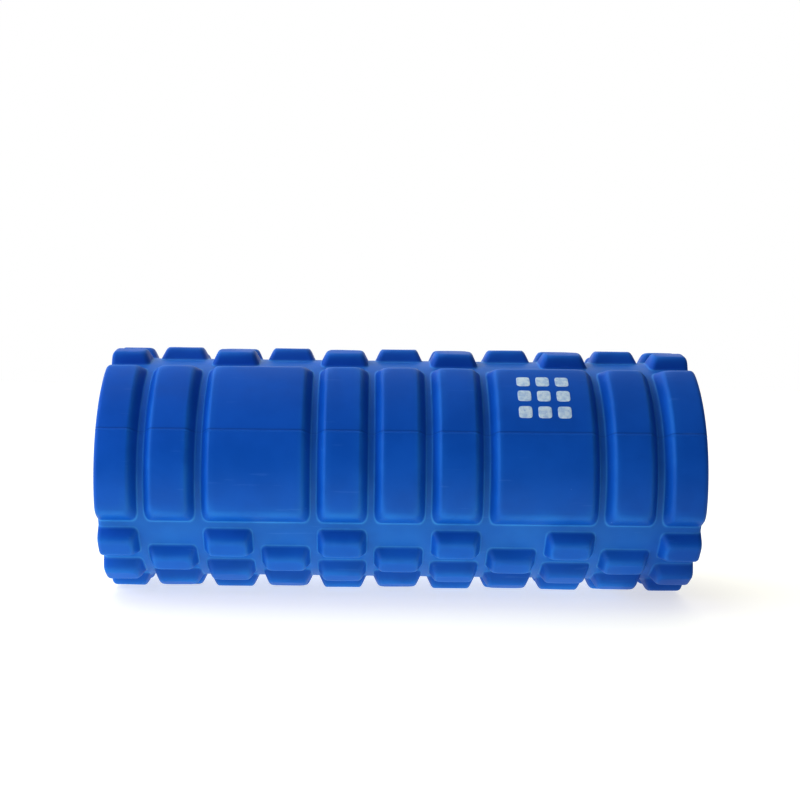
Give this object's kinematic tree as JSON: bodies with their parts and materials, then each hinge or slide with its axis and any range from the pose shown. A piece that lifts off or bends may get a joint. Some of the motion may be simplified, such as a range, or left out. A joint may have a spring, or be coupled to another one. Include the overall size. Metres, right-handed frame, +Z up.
{
  "type": "foam roller",
  "caption": "Hollow foam massage roller: a stiff core tube inside a moulded foam sleeve with a raised tread of long bars and staggered small pads.",
  "frame": {"origin": "middle of the roller's axis, half way between the foam's two end faces", "axes": "+X along the roller's axis, towards the end with the printed mark; +Z up as the roller lies on a row of small pads; -Y is the front, and the front parting line of the mould stands 22 degrees above it"},
  "size_m": [0.33, 0.14, 0.14],
  "materials": {
    "core_plastic": "satin",
    "adhesive": "satin",
    "foam": "satin",
    "white_ink": "matte"
  },
  "bodies": {
    "root": {"core_tube": "core_plastic", "bond_film": "adhesive", "foam_sleeve": "foam", "printed_mark": "white_ink"}
  },
  "joints": []
}
